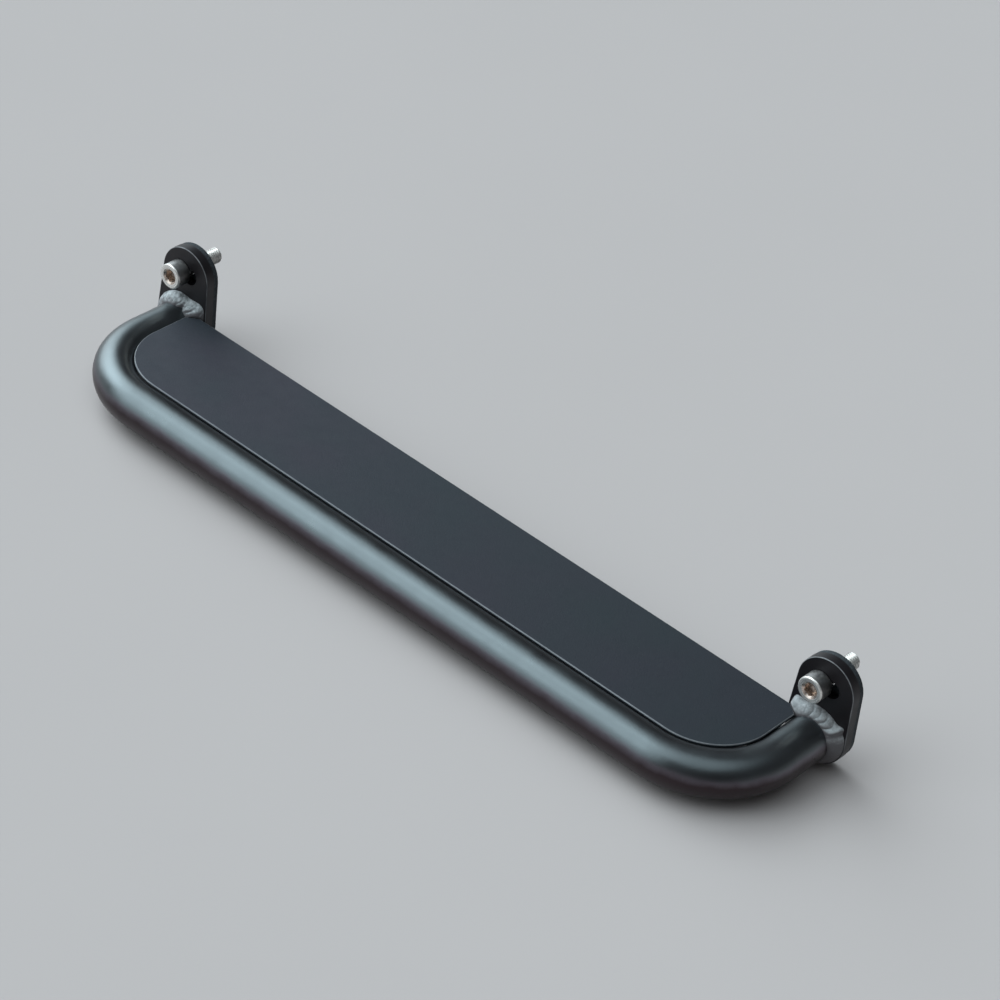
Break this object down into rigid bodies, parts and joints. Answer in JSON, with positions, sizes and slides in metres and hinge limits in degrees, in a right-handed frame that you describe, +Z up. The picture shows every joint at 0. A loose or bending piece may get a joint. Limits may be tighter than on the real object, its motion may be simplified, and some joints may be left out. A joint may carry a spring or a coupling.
{
  "type": "cargo bike running board",
  "caption": "Side footboard for a longtail cargo bike: a bent tube hoop welded to slotted lugs, with a plain deck plate nested inside it and bolts standing out at the frame side.",
  "frame": {"origin": "midway between the axes of the two fixing bolts, on the plane where the board's pads seat on the bike frame", "axes": "+X towards the front of the bike, +Z up, +Y inboard along the bolts; the board reaches out to -Y"},
  "size_m": [0.433, 0.1031, 0.0557],
  "materials": {
    "frame_paint": "satin",
    "weld_paint": "satin",
    "deck_coating": "matte",
    "pad_rubber": "matte",
    "stainless": "polished"
  },
  "bodies": {
    "root": {"hoop_tube": "frame_paint", "inner_rail": "frame_paint", "cross_bar_rear": "frame_paint", "cross_bar_mid": "frame_paint", "cross_bar_front": "frame_paint", "lug_rear": "frame_paint", "lug_front": "frame_paint", "weld_rear": "weld_paint", "weld_front": "weld_paint", "deck_plate": "deck_coating", "spacer_rear": "pad_rubber", "spacer_front": "pad_rubber", "bolt_rear": "stainless", "bolt_front": "stainless"}
  },
  "joints": []
}
